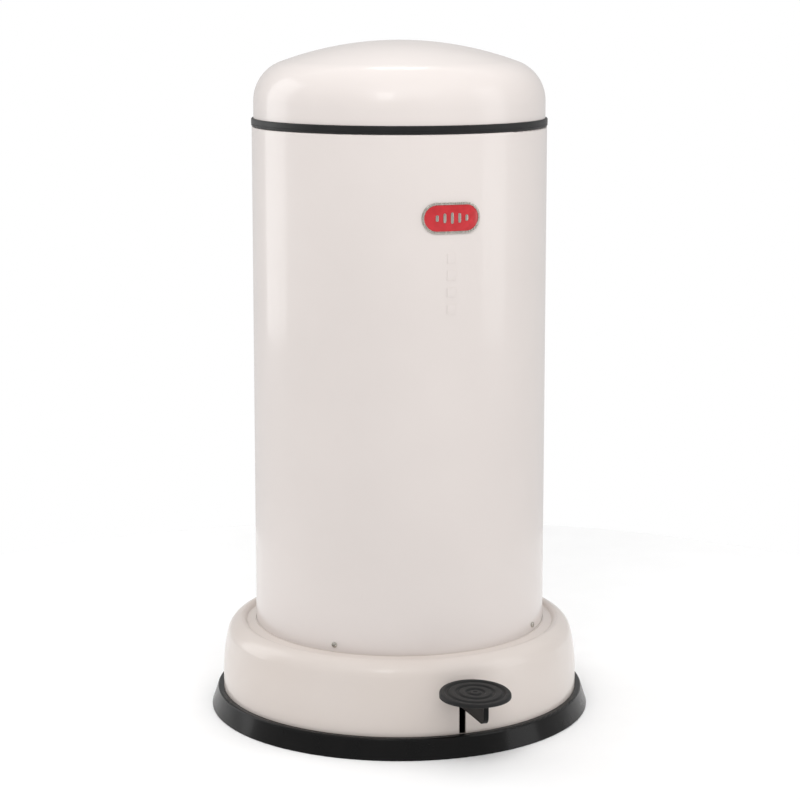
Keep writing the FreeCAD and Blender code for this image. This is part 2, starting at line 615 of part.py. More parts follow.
yoke = plateShape("rod_yoke", [
    ("rod_back - 8.8", "crank_height - 5.8"), ("rod_back - 5", "crank_height - 12"),
    ("rod_back - 5", "rod_top - 6"), ("rod_back + 5", "rod_top - 6"), ("rod_back + 5", "crank_height - 12"),
    ("rod_back + 8.8", "crank_height - 5.8"), ("rod_back + 8.8", "crank_height + 5.8"),
    ("rod_back - 8.8", "crank_height + 5.8")], "10.6")
sketch = newSketch(yoke, "YZ_Plane", "yoke_gap_outline")
outline(sketch, [
    ("rod_back - 15", "rod_top"), ("rod_back + 15", "rod_top"), ("rod_back + 15", "crank_height + 20"),
    ("rod_back - 15", "crank_height + 20")])
pocket(yoke, sketch, "yoke_gap", "4.6", both=True)
sketch = newSketch(yoke, "YZ_Plane", "yoke_slot_outline")
half = "(crank_length - crank_out) / 2 + 0.2"
outline(sketch, [
    ("rod_back - (%s)" % half, "crank_height - link_pin - link_play"),
    ("rod_back + (%s)" % half, "crank_height - link_pin - link_play", "link_pin + link_play", 1),
    ("rod_back + (%s)" % half, "crank_height + link_pin + link_play"),
    ("rod_back - (%s)" % half, "crank_height + link_pin + link_play", "link_pin + link_play", 1)])
pocket(yoke, sketch, "yoke_slot", "30", both=True)
sketch = newSketch(yoke, "XY_Plane", "yoke_socket_circle", along="rod_top - 8")
circle(sketch, "0", "rod_back", "rod_radius")
pocket(yoke, sketch, "yoke_socket", "8.5", back=True)

guide = newBody("lower_guide")
sketch = newSketch(guide, "XY_Plane", "guide_collar", along="tube_foot - 2")
circle(sketch, "0", "rod_back", "5")
circle(sketch, "0", "rod_back", "rod_radius + run_fit")
pad(guide, sketch, "guide_bush", "pan_thick + 3.5")
sketch = newSketch(guide, "XY_Plane", "guide_flange_circles", along="pan_high")
circle(sketch, "0", "rod_back", "8")
circle(sketch, "0", "rod_back", "rod_radius + run_fit")
pad(guide, sketch, "guide_flange", "1.5")

guide = turned("upper_guide", [
    ("tube_radius - tube_wall - 1.5", "hinge_height - 76"), ("tube_radius - tube_wall", "hinge_height - 76"),
    ("tube_radius - tube_wall", "hinge_height - 52"), ("tube_radius - tube_wall - 1.5", "hinge_height - 52")],
    "14", True, "YZ_Plane")
sketch = newSketch(guide, "XY_Plane", "guide_shelf_outline", along="hinge_height - 58")
outline(sketch, [
    ("-9", "rod_back - 5.5"), ("9", "rod_back - 5.5"), ("9", "tube_radius - tube_wall - 1"),
    ("-9", "tube_radius - tube_wall - 1")])
circle(sketch, "0", "rod_back", "rod_radius + run_fit")
pad(guide, sketch, "guide_shelf", "3")
for label, height, spin in rivetSpots[4:]:
    radial(guide, "Groove", "shelf_hole_" + label.replace("-", "m"), height, spin, [
        ("tube_radius - 6", "0"), ("tube_radius + 3", "0"), ("tube_radius + 3", "1.6"), ("tube_radius - 6", "1.6")])

# ---- hinge bracket on the tube and its pin

hinge = turned("hinge_bracket", [
    ("tube_radius", "hinge_height - 50"), ("tube_radius + 2", "hinge_height - 50"),
    ("tube_radius + 2", "hinge_height - 15"), ("tube_radius", "hinge_height - 15")], "21", True, "YZ_Plane")
for side in (1, -1):
    name = "right" if side > 0 else "left"
    sketch = newSketch(hinge, "YZ_Plane", "ear_outline_" + name, along="%d" % (12 * side))
    outline(sketch, [
        ("tube_radius + 0.9", "hinge_height - 47"), ("hinge_back", "hinge_height - 38"),
        ("hinge_back + 6.5", "hinge_height - 14"), ("hinge_back + 6.5", "hinge_height", "6.5", 1),
        ("hinge_back - 6.5", "hinge_height"), ("hinge_back - 6.5", "hinge_height - 12"),
        ("tube_radius + 0.9", "hinge_height - 16")])
    circle(sketch, "hinge_back", "hinge_height", "hinge_pin")
    pad(hinge, sketch, "ear_" + name, "2.5", back=side < 0)
for label, height, spin in rivetSpots[:4]:
    radial(hinge, "Groove", "bracket_hole_" + label.replace("-", "m"), height, spin, [
        ("tube_radius - 6", "0"), ("tube_radius + 6", "0"), ("tube_radius + 6", "1.6"), ("tube_radius - 6", "1.6")])

rivets = newBody("bracket_rivets")
for label, height, spin in rivetSpots[:4]:
    radial(rivets, "Revolution", "rivet_" + label.replace("-", "m"), height, spin, [
        ("tube_radius - tube_wall - 1.2", "0"), ("tube_radius + 3.4", "0"),
        ("tube_radius + 3.4", "1.6"), ("tube_radius + 2.05", "3"), ("tube_radius + 2.05", "1.6"),
        ("tube_radius - tube_wall - 0.1", "1.6"), ("tube_radius - tube_wall - 0.1", "2.6"),
        ("tube_radius - tube_wall - 1.2", "2.6")])
rivets = newBody("guide_rivets")
for label, height, spin in rivetSpots[4:]:
    radial(rivets, "Revolution", "rivet_" + label.replace("-", "m"), height, spin, [
        ("tube_radius - tube_wall - 2.7", "0"), ("tube_radius + 1.2", "0"),
        ("tube_radius + 1.2", "1.6"), ("tube_radius + 0.05", "3"), ("tube_radius + 0.05", "1.6"),
        ("tube_radius - tube_wall - 1.6", "1.6"), ("tube_radius - tube_wall - 1.6", "2.6"),
        ("tube_radius - tube_wall - 2.7", "2.6")])
headedPin("hinge_pin", "hinge_pin", "hinge_back", "hinge_height", "14.6")

# ---- lid: sheet dome, edge seal, hinge leaf with its crank

lid = turned("lid_shell", [
    ("skirt_radius - lid_wall", "rim_low"),
    ("skirt_radius", "rim_low"),
    ("skirt_radius", "skirt_top", "shoulder_radius", 1),
    ("dome_radius * join_across", "dome_centre + dome_radius * join_up", "dome_radius", 1),
    ("0", "dome_centre + dome_radius"),
    ("0", "dome_centre + dome_radius - lid_wall", "dome_radius - lid_wall", -1),
    ("(dome_radius - lid_wall) * join_across", "dome_centre + (dome_radius - lid_wall) * join_up",
     "shoulder_radius - lid_wall", -1),
    ("skirt_radius - lid_wall", "skirt_top"),
])
seal = turned("edge_seal", [
    ("skirt_radius - lid_wall - 2", "seal_low"),
    ("seal_radius - 0.8", "seal_low", "0.8", 1),
    ("seal_radius", "seal_low + 0.8"),
    ("seal_radius", "seal_high - 0.8", "0.8", 1),
    ("seal_radius - 0.8", "seal_high"),
    ("skirt_radius", "seal_high"),
    ("skirt_radius", "rim_low"),
    ("skirt_radius - lid_wall", "rim_low"),
    ("skirt_radius - lid_wall", "seal_high"),
    ("skirt_radius - lid_wall - 2", "seal_high"),
])
for body, label in ((lid, "lid"), (seal, "seal")):
    sketch = newSketch(body, "XY_Plane", label + "_notch_outline", along="seal_low - 1")
    outline(sketch, [("-8", "tube_radius - 20"), ("8", "tube_radius - 20"), ("8", "tube_radius + 5"),
                     ("-8", "tube_radius + 5")])
    pocket(body, sketch, label + "_notch", "seal_tall + 0.2", back=True)
for spin in (-8, 8):
    radial(lid, "Groove", "leaf_hole_%d" % (spin + 10), "hinge_height + 11", spin, [
        ("tube_radius - 6", "0"), ("tube_radius + 3", "0"), ("tube_radius + 3", "1.6"), ("tube_radius - 6", "1.6")])

leaf = turned("lid_hinge", [
    ("skirt_radius", "hinge_height + 2"), ("skirt_radius + 1.5", "hinge_height + 2"),
    ("skirt_radius + 1.5", "skirt_top - 1"), ("skirt_radius", "skirt_top - 1")], "21", True, "YZ_Plane")
for spin in (-8, 8):
    radial(leaf, "Groove", "plate_hole_%d" % (spin + 10), "hinge_height + 11", spin, [
        ("tube_radius - 6", "0"), ("tube_radius + 3", "0"), ("tube_radius + 3", "1.6"), ("tube_radius - 6", "1.6")])
sketch = newSketch(leaf, "YZ_Plane", "knuckle_circle")
circle(sketch, "hinge_back", "hinge_height", "5")
pad(leaf, sketch, "knuckle", "23.4", both=True)
sketch = newSketch(leaf, "YZ_Plane", "web_outline")
outline(sketch, [
    ("skirt_radius + 0.7", "hinge_height + 3"), ("hinge_back - 5.5", "hinge_height + 1.5"),
    ("hinge_back - 2", "hinge_height - 2"), ("hinge_back + 3.5", "hinge_height + 1"),
    ("hinge_back + 1", "hinge_height + 4.8"), ("skirt_radius + 2.3", "skirt_top - 2"),
    ("skirt_radius + 0.7", "skirt_top - 2")])
pad(leaf, sketch, "web", "14", both=True)
sketch = newSketch(leaf, "YZ_Plane", "crank_outline")
outline(sketch, [
    ("hinge_back + 4 * sin(crank_drop)", "hinge_height - 4 * cos(crank_drop)"),
    ("hinge_back - 4 * sin(crank_drop)", "hinge_height + 4 * cos(crank_drop)"),
    ("hinge_back - crank_out - 4 * sin(crank_drop)", "crank_height + 4 * cos(crank_drop)", "4.5", 1),
    ("hinge_back - crank_out + 4 * sin(crank_drop)", "crank_height - 4 * cos(crank_drop)")])
pad(leaf, sketch, "crank", "3", both=True)
cross(leaf, "knuckle_bore", "hinge_back", "hinge_height", "hinge_pin + run_fit", "60")
cross(leaf, "crank_bore", "hinge_back - crank_out", "crank_height", "link_pin", "60")
rivets = newBody("lid_rivets")
for spin in (-8, 8):
    radial(rivets, "Revolution", "lid_rivet_%d" % (spin + 10), "hinge_height + 11", spin, [
        ("skirt_radius - lid_wall - 1.2", "0"), ("skirt_radius + 2.8", "0"),
        ("skirt_radius + 2.8", "1.6"), ("skirt_radius + 1.55", "3"), ("skirt_radius + 1.55", "1.6"),
        ("skirt_radius - lid_wall - 0.1", "1.6"), ("skirt_radius - lid_wall - 0.1", "2.6"),
        ("skirt_radius - lid_wall - 1.2", "2.6")])
headedPin("crank_pin", "link_pin", "hinge_back - crank_out", "crank_height", "5.7")

# ---- loose bucket and its bail

bucket = turned("inner_bucket", [
    ("0", "pan_high"),
    ("bucket_radius - 6", "pan_high", "6", 1),
    ("bucket_radius", "pan_high + 6"),
    ("bucket_radius", "rim_height - 6"),
    ("bucket_radius + rim_out", "rim_height - 4.5"),
    ("bucket_radius + rim_out", "rim_height - 1", "1", 1),
    ("bucket_radius + rim_out - 1", "rim_height"),
    ("bucket_radius - bucket_wall", "rim_height"),
    ("bucket_radius - bucket_wall", "pan_high + 6", "6 - bucket_wall", -1),
    ("bucket_radius - 6", "pan_high + bucket_wall"),
    ("0", "pan_high + bucket_wall"),
])
ears = newBody("bail_ears")
for side in (1, -1):
    name = "right" if side > 0 else "left"
    sketch = newSketch(ears, "XZ_Plane", "ear_profile_" + name)
    outline(sketch, [
        ("%d * bucket_radius" % side, "ear_height - 10"), ("%d * (bucket_radius + 3)" % side, "ear_height - 10"),
        ("%d * (bucket_radius + 3)" % side, "ear_height + 10"), ("%d * bucket_radius" % side, "ear_height + 10")])
    revolve(ears, sketch, "ear_turn_" + name, "9", True)
cross(ears, "ear_bores", "0", "ear_height", "bail_wire + run_fit", "600")

wire = newBody("bail_hoop")
spine = newSketch(wire, "XY_Plane", "hoop_path", along="ear_height")
reach = "bail_radius - bail_bend"
outlineSteps = [
    ("bucket_radius + 0.4", "0"), (reach, "0", "bail_bend", -1), ("bail_radius", "-bail_bend", "bail_radius", -1),
    ("-bail_radius", "-bail_bend", "bail_bend", -1), ("-(%s)" % reach, "0"), ("-bucket_radius - 0.4", "0")]
spots = [FreeCAD.Vector(number(step[0]), number(step[1]), 0) for step in outlineSteps]
bend = number("bail_bend")
wide = number("bail_radius")
level = FreeCAD.Vector(0, 0, 1)
quarter = math.pi / 2
curves = [
    spine.addGeometry(Part.LineSegment(spots[0], spots[1])),
    spine.addGeometry(Part.ArcOfCircle(Part.Circle(spots[1] - FreeCAD.Vector(0, bend, 0), level, bend), 0, quarter)),
    spine.addGeometry(Part.ArcOfCircle(Part.Circle(FreeCAD.Vector(0, -bend, 0), level, wide), math.pi, 2 * math.pi)),
    spine.addGeometry(Part.ArcOfCircle(Part.Circle(spots[4] - FreeCAD.Vector(0, bend, 0), level, bend), quarter, math.pi)),
    spine.addGeometry(Part.LineSegment(spots[4], spots[5]))]
spine.addConstraint(Sketcher.Constraint("Coincident", curves[0], 2, curves[1], 2))
spine.addConstraint(Sketcher.Constraint("Coincident", curves[1], 1, curves[2], 2))
spine.addConstraint(Sketcher.Constraint("Coincident", curves[2], 1, curves[3], 2))
spine.addConstraint(Sketcher.Constraint("Coincident", curves[3], 1, curves[4], 1))
for curve, end, spot in ((0, 1, 0), (0, 2, 1), (1, 1, 2), (3, 2, 3), (4, 1, 4), (4, 2, 5)):
    pin(spine, "DistanceX", -1, 1, curves[curve], end, outlineSteps[spot][0])
    pin(spine, "DistanceY", -1, 1, curves[curve], end, outlineSteps[spot][1])
pin(spine, "Radius", curves[1], "bail_bend")
pin(spine, "DistanceY", -1, 1, curves[2], 3, "-bail_bend")
pin(spine, "Radius", curves[3], "bail_bend")
section = newSketch(wire, "YZ_Plane", "hoop_section", along="bucket_radius + 0.4")
circle(section, "0", "ear_height", "bail_wire")
pipe = wire.newObject("PartDesign::AdditivePipe", "hoop_pipe")
pipe.Profile = section
pipe.Spine = spine
doc.recompute()

grip = newBody("bail_grip")
sketch = newSketch(grip, "YZ_Plane", "grip_circles")
circle(sketch, "-bail_radius", "0", "grip_radius")
circle(sketch, "-bail_radius", "0", "bail_wire")
revolve(grip, sketch, "grip_sleeve", "36", True)
bind(grip, "Placement.Base.y", "-bail_bend")
bind(grip, "Placement.Base.z", "ear_height")

# ---- the pad's plate gets its two screw holes

plateHoles = doc.addObject("Part::MultiFuse", "pad_plate_bores")
bores = []
for side in (1, -1):
    bores.append(rod("pad_bore_%s" % ("right" if side > 0 else "left"), upward, "1.5", "4",
                     ("%d" % (16 * side), "-pad_centre", "arm_high - 1")))
plateHoles.Shapes = bores
padPlate.Label = "pad_plate_blank"
drilled = doc.addObject("Part::Cut", "pad_plate_drilled")
drilled.Base = padPlate
drilled.Tool = plateHoles
drilled.Label = "pad_plate"
doc.recompute()

nodes = [
    "base_ring", "base_plate", "base_screws", "base_cover", "bucket_pan", "body_tube", "tube_screws",
    "badge_frame", "badge_inlay", "pivot_bracket", "bracket_screws", "pivot_shaft", "shaft_clips",
    "rest_buffer", "press_buffer", "lower_guide", "upper_guide", "guide_rivets", "hinge_bracket",
    "bracket_rivets", "hinge_pin", "pedal_arm", "pedal_hub", "pad_plate", "pedal_pad", "pad_screws",
    "lift_rod", "rod_foot", "foot_pin", "rod_yoke", "lid_shell", "edge_seal", "lid_hinge", "lid_rivets",
    "crank_pin", "inner_bucket", "bail_ears", "bail_hoop", "bail_grip"]
for thing in doc.Objects:
    if "Invalid" in thing.State or "Error" in thing.State:
        raise RuntimeError(thing.Label + " " + str(thing.State))
for node in nodes:
    thing = doc.getObjectsByLabel(node)[0]
    shape = thing.Shape
    if shape.isNull() or not shape.isValid():
        raise RuntimeError(node + " has no valid shape")
    print(node, "solids", len(shape.Solids), "volume", round(shape.Volume, 1))
    shape.exportStep("parts/" + node + ".step")
print("nodes", len(nodes))
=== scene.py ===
import json
import math

import bmesh
import bpy
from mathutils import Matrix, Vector

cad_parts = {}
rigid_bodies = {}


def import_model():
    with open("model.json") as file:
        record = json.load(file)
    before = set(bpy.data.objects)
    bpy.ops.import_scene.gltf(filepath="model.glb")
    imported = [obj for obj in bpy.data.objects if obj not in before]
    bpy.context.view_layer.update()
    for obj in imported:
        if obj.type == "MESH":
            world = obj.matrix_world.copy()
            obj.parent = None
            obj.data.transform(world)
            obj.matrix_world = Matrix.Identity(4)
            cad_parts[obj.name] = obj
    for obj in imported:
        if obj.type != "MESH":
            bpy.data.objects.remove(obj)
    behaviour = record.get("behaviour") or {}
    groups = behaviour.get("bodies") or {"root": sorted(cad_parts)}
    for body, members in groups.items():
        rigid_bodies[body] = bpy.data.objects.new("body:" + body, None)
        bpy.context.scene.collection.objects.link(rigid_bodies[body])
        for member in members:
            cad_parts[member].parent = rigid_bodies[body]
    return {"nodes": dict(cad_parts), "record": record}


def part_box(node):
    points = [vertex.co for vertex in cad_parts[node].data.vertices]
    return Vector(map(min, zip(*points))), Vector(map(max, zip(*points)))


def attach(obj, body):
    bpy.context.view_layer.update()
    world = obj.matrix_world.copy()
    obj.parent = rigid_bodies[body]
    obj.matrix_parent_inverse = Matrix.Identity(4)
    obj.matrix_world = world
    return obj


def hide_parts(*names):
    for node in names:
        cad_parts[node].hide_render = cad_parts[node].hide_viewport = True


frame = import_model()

for leftover in [o for o in bpy.data.objects if o.name in ("Cube", "Light", "Camera")]:
    bpy.data.objects.remove(leftover)  # Blender's own start-up objects
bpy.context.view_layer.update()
record = frame["record"]
mm = 0.001
tubeRadius = 150.0 * mm  # the outside of the body tube
print("frame loaded,", len(frame["nodes"]), "nodes")


def hexToLinear(text):
    # an sRGB hex colour as the linear red, green, blue and alpha that a shader takes
    shades = [int(text[at:at + 2], 16) / 255 for at in (1, 3, 5)]
    return [s / 12.92 if s <= 0.04045 else ((s + 0.055) / 1.055) ** 2.4 for s in shades] + [1.0]


def addNode(tree, kind, sockets=None, stops=None, **settings):
    # one node; a socket takes a value or a (node, output) pair, and stops fill a colour ramp
    node = tree.nodes.new(kind)
    for name, value in settings.items():
        setattr(node, name, value)
    for name, value in (sockets or {}).items():
        if isinstance(value, tuple) and isinstance(value[0], bpy.types.Node):
            tree.links.new(value[0].outputs[value[1]], node.inputs[name])
        else:
            node.inputs[name].default_value = value
    for index, (position, shade) in enumerate(stops or []):
        marks = node.color_ramp.elements
        mark = marks[index] if index < 2 else marks.new(position)
        mark.position = position
        mark.color = hexToLinear(shade)
    return node


def startMaterial(name):
    # an empty node tree and the object's own coordinates, which are metres in the bin's frame
    material = bpy.data.materials.new(name)
    material.use_nodes = True
    material.node_tree.nodes.clear()
    return material, material.node_tree, addNode(material.node_tree, "ShaderNodeTexCoord")


def finishMaterial(tree, sockets):
    shader = addNode(tree, "ShaderNodeBsdfPrincipled", sockets)
    addNode(tree, "ShaderNodeOutputMaterial", {"Surface": (shader, "BSDF")})


def paintFinish(name, look):
    # a sprayed and baked coat: long soft waves of orange peel under an even gloss
    material, tree, place = startMaterial(name)
    cloud = addNode(tree, "ShaderNodeTexNoise", {
        "Vector": (place, "Object"), "Scale": 1 / (look["cloudMm"] * mm), "Detail": 3.0, "Roughness": 0.5})
    colour = addNode(tree, "ShaderNodeValToRGB", {"Fac": (cloud, "Fac")}, [
        (0.3, look["tone"]), (0.7, look["pale"])])
    wipe = addNode(tree, "ShaderNodeTexNoise", {
        "Vector": (place, "Object"), "Scale": 1 / (look["wipeMm"] * mm), "Detail": 5.0, "Roughness": 0.6})
    gloss = addNode(tree, "ShaderNodeMapRange", {
        "Value": (wipe, "Fac"), "From Min": 0.3, "From Max": 0.7,
        "To Min": look["roughness"] - look["roughSpread"], "To Max": look["roughness"] + look["roughSpread"]})
    peel = addNode(tree, "ShaderNodeTexNoise", {
        "Vector": (place, "Object"), "Scale": 1 / (look["peelMm"] * mm), "Detail": 1.0, "Roughness": 0.4})
    waves = addNode(tree, "ShaderNodeBump", {
        "Height": (peel, "Fac"), "Strength": look["peelStrength"], "Distance": look["peelDepthMm"] * mm})
    finishMaterial(tree, {
        "Base Color": (colour, "Color"), "Roughness": (gloss, "Result"), "Normal": (waves, "Normal"),
        "Coat Normal": (waves, "Normal"), "IOR": look["ior"], "Specular IOR Level": look["specular"],
        "Coat Weight": look["coat"], "Coat Roughness": look["coatRoughness"], "Coat IOR": look["ior"]})
    return material


# polyester powder on deep-drawn steel, baked: a warm white with a soft shine and a thin clear gloss over it
whitePowder = {
    "tone": "#DAD2CE", "pale": "#DED6D2", "cloudMm": 160, "wipeMm": 45, "roughness": 0.34, "roughSpread": 0.04,
    "peelMm": 2.5, "peelStrength": 0.1, "peelDepthMm": 0.03, "ior": 1.5, "specular": 0.3,
    "coat": 0.45, "coatRoughness": 0.09}
# a like white sprayed as lacquer on moulded ABS: a shade darker and warmer, with longer orange peel
whiteLacquer = dict(whitePowder, tone="#D2C8C1", pale="#D6CDC7", peelMm=3.5)
# stoved black enamel on flat steel bar: thin and a little dull
blackStove = dict(
    whitePowder, tone="#060606", pale="#0C0B0B", roughness=0.42, specular=0.15, coat=0.0, peelMm=1.8, cloudMm=30)


def mouldedPlastic(name, look):
    # injection-moulded plastic: spark-eroded grain with faint flow shades and a broad soft shine
    material, tree, place = startMaterial(name)
    flow = addNode(tree, "ShaderNodeTexNoise", {
        "Vector": (place, "Object"), "Scale": 1 / (look["flowMm"] * mm), "Detail": 5.0, "Roughness": 0.6,
        "Distortion": 0.6})
    colour = addNode(tree, "ShaderNodeValToRGB", {"Fac": (flow, "Fac")}, [
        (0.3, look["tone"]), (0.72, look["pale"])])
    gloss = addNode(tree, "ShaderNodeMapRange", {
        "Value": (flow, "Fac"), "From Min": 0.3, "From Max": 0.7,
        "To Min": look["roughness"] - look["roughSpread"], "To Max": look["roughness"] + look["roughSpread"]})
    grain = addNode(tree, "ShaderNodeTexNoise", {
        "Vector": (place, "Object"), "Scale": 1 / (look["grainMm"] * mm), "Detail": 2.0, "Roughness": 0.55})
    bump = addNode(tree, "ShaderNodeBump", {
        "Height": (grain, "Fac"), "Strength": look["grainStrength"], "Distance": look["grainDepthMm"] * mm})
    finishMaterial(tree, {
        "Base Color": (colour, "Color"), "Roughness": (gloss, "Result"), "Normal": (bump, "Normal"),
        "IOR": look["ior"], "Specular IOR Level": look["specular"],
        "Coat Weight": look["coat"], "Coat Roughness": look["coatRoughness"]})
    return material


# black polypropylene: the real grain is 0.2 mm, drawn at 0.9 mm so that it shows
ringPlastic = {
    "tone": "#080808", "pale": "#0D0C0C", "flowMm": 45, "roughness": 0.3, "roughSpread": 0.06, "grainMm": 0.9,
    "grainStrength": 0.22, "grainDepthMm": 0.06, "ior": 1.49, "specular": 0.08,
    "coat": 0.3, "coatRoughness": 0.14}
# natural acetal rod, machined: milky and slightly waxy
guidePlastic = dict(
    ringPlastic, tone="#CFCDC4", pale="#DBDAD2", flowMm=12, roughness=0.4, ior=1.48, specular=0.5, coat=0.0)
# black phenolic resin, compression moulded and buffed: brown-black with a deeper shine
gripResin = dict(
    ringPlastic, tone="#120E0C", pale="#1D1714", flowMm=9, roughness=0.28, roughSpread=0.05, ior=1.6, specular=0.4)


def mouldedRubber(name, look):
    # vulcanised rubber: almost matte, greyer where bloom and dust sit and where it is rubbed
    material, tree, place = startMaterial(name)
    bloom = addNode(tree, "ShaderNodeTexNoise", {
        "Vector": (place, "Object"), "Scale": 1 / (look["bloomMm"] * mm), "Detail": 6.0, "Roughness": 0.65})
    colour = addNode(tree, "ShaderNodeValToRGB", {"Fac": (bloom, "Fac")}, [
        (0.3, look["tone"]), (0.85, look["pale"]), (0.55, look["middle"])])
    gloss = addNode(tree, "ShaderNodeMapRange", {
        "Value": (bloom, "Fac"), "From Min": 0.3, "From Max": 0.7,
        "To Min": look["roughness"] - look["roughSpread"], "To Max": look["roughness"] + look["roughSpread"]})
    grain = addNode(tree, "ShaderNodeTexVoronoi", {
        "Vector": (place, "Object"), "Scale": 1 / (look["grainMm"] * mm), "Randomness": 1.0})
    bump = addNode(tree, "ShaderNodeBump", {
        "Height": (grain, "Distance"), "Strength": look["grainStrength"], "Distance": look["grainDepthMm"] * mm})
    finishMaterial(tree, {
        "Base Color": (colour, "Color"), "Roughness": (gloss, "Result"), "Normal": (bump, "Normal"),
        "IOR": 1.52, "Specular IOR Level": look["specular"], "Sheen Weight": 0.05, "Sheen Roughness": 0.5})
    return material


# EPDM rubber; its fine cast skin is drawn at 0.7 mm so that it shows
rubberSkin = {
    "tone": "#141414", "middle": "#1A1A1A", "pale": "#232323", "bloomMm": 16, "roughness": 0.5, "roughSpread": 0.08,
    "grainMm": 0.7, "grainStrength": 0.3, "grainDepthMm": 0.05, "specular": 0.25}
# nitrile rubber, moulded: more matte, with bloom in smaller clouds; its skin is drawn coarser too
footRubber = dict(
    rubberSkin, tone="#121212", middle="#181818", pale="#242424", bloomMm=9, roughness=0.58, grainMm=0.9)


def drawnMetal(name, look):
    # plated or polished steel: hair-fine lines along the way it was drawn or turned
    material, tree, place = startMaterial(name)
    stretch = addNode(tree, "ShaderNodeMapping", {"Vector": (place, "Object"), "Scale": look["squeeze"]})
    lines = addNode(tree, "ShaderNodeTexNoise", {
        "Vector": (stretch, "Vector"), "Scale": 1 / (look["lineMm"] * mm), "Detail": 4.0, "Roughness": 0.6})
    colour = addNode(tree, "ShaderNodeValToRGB", {"Fac": (lines, "Fac")}, [
        (0.3, look["tone"]), (0.7, look["pale"])])
    gloss = addNode(tree, "ShaderNodeMapRange", {
        "Value": (lines, "Fac"), "From Min": 0.3, "From Max": 0.7,
        "To Min": look["roughness"] * look["smoothShare"], "To Max": look["roughness"] * look["roughShare"]})
    bump = addNode(tree, "ShaderNodeBump", {
        "Height": (lines, "Fac"), "Strength": look["lineStrength"], "Distance": look["lineDepthMm"] * mm})
    finishMaterial(tree, {
        "Base Color": (colour, "Color"), "Roughness": (gloss, "Result"), "Normal": (bump, "Normal"), "Metallic": 1.0})
    return material


# nickel on turned steel: bright and slightly yellow; the lines are 0.1 mm, drawn at 1 mm
nickelPlate = {
    "tone": "#A9A59D", "pale": "#CFCBC3", "squeeze": (1.0, 1.0, 0.08), "lineMm": 1.0, "lineDepthMm": 0.02,
    "lineStrength": 0.25, "roughness": 0.24, "smoothShare": 0.7, "roughShare": 1.4}


def zincSheet(name, look):
    # hot-dip zinc on pressed sheet: crystals of a few millimetres, each with its own grey and gloss
    material, tree, place = startMaterial(name)
    bend = addNode(tree, "ShaderNodeTexNoise", {
        "Vector": (place, "Object"), "Scale": 1 / (look["bendMm"] * mm), "Detail": 2.0})
    sway = addNode(tree, "ShaderNodeVectorMath", {
        0: (bend, "Color"), 1: [look["swayMm"] * mm] * 3}, operation="MULTIPLY")
    moved = addNode(tree, "ShaderNodeVectorMath", {
        0: (place, "Object"), 1: (sway, "Vector")}, operation="ADD")
    crystal = addNode(tree, "ShaderNodeTexVoronoi", {
        "Vector": (moved, "Vector"), "Scale": 1 / (look["spangleMm"] * mm)})
    grey = addNode(tree, "ShaderNodeRGBToBW", {"Color": (crystal, "Color")})
    colour = addNode(tree, "ShaderNodeValToRGB", {"Fac": (grey, "Val")}, [
        (0.15, look["tone"]), (0.85, look["pale"])])
    gloss = addNode(tree, "ShaderNodeMapRange", {
        "Value": (grey, "Val"), "To Min": look["roughness"] - look["smoothSpread"],
        "To Max": look["roughness"] + look["roughSpread"]})
    bump = addNode(tree, "ShaderNodeBump", {
        "Height": (grey, "Val"), "Strength": look["edgeStrength"], "Distance": look["edgeDepthMm"] * mm})
    finishMaterial(tree, {
        "Base Color": (colour, "Color"), "Roughness": (gloss, "Result"), "Normal": (bump, "Normal"), "Metallic": 1.0})
    return material


galvanised = {
    "tone": "#8E9193", "pale": "#BABEC0", "spangleMm": 8, "bendMm": 10, "swayMm": 4, "roughness": 0.42,
    "smoothSpread": 0.08, "roughSpread": 0.1, "edgeStrength": 0.12, "edgeDepthMm": 0.05}


def firedEnamel(name, look):
    # glass enamel fused on metal: hard shine, deeper red where it has pooled, a few pin holes
    material, tree, place = startMaterial(name)
    pool = addNode(tree, "ShaderNodeTexNoise", {
        "Vector": (place, "Object"), "Scale": 1 / (look["poolMm"] * mm), "Detail": 3.0, "Roughness": 0.5})
    colour = addNode(tree, "ShaderNodeValToRGB", {"Fac": (pool, "Fac")}, [
        (0.3, look["tone"]), (0.75, look["pale"])])
    gloss = addNode(tree, "ShaderNodeMapRange", {
        "Value": (pool, "Fac"), "From Min": 0.3, "From Max": 0.7,
        "To Min": look["roughness"] * look["smoothShare"], "To Max": look["roughness"] * look["roughShare"]})
    pits = addNode(tree, "ShaderNodeTexNoise", {
        "Vector": (place, "Object"), "Scale": 1 / (look["pitMm"] * mm), "Detail": 2.0, "Roughness": 0.5})
    bump = addNode(tree, "ShaderNodeBump", {
        "Height": (pits, "Fac"), "Strength": look["pitStrength"], "Distance": look["pitDepthMm"] * mm})
    finishMaterial(tree, {
        "Base Color": (colour, "Color"), "Roughness": (gloss, "Result"), "Normal": (bump, "Normal"),
        "IOR": look["ior"], "Coat Weight": look["coat"], "Coat Roughness": look["coatRoughness"],
        "Coat IOR": look["coatIor"]})
    return material


redEnamel = {
    "tone": "#B5141E", "pale": "#C8202B", "poolMm": 7, "pitMm": 1.0, "pitStrength": 0.15, "pitDepthMm": 0.04,
    "roughness": 0.2, "smoothShare": 0.7, "roughShare": 1.3, "ior": 1.52,
    "coat": 0.4, "coatRoughness": 0.06, "coatIor": 1.5}

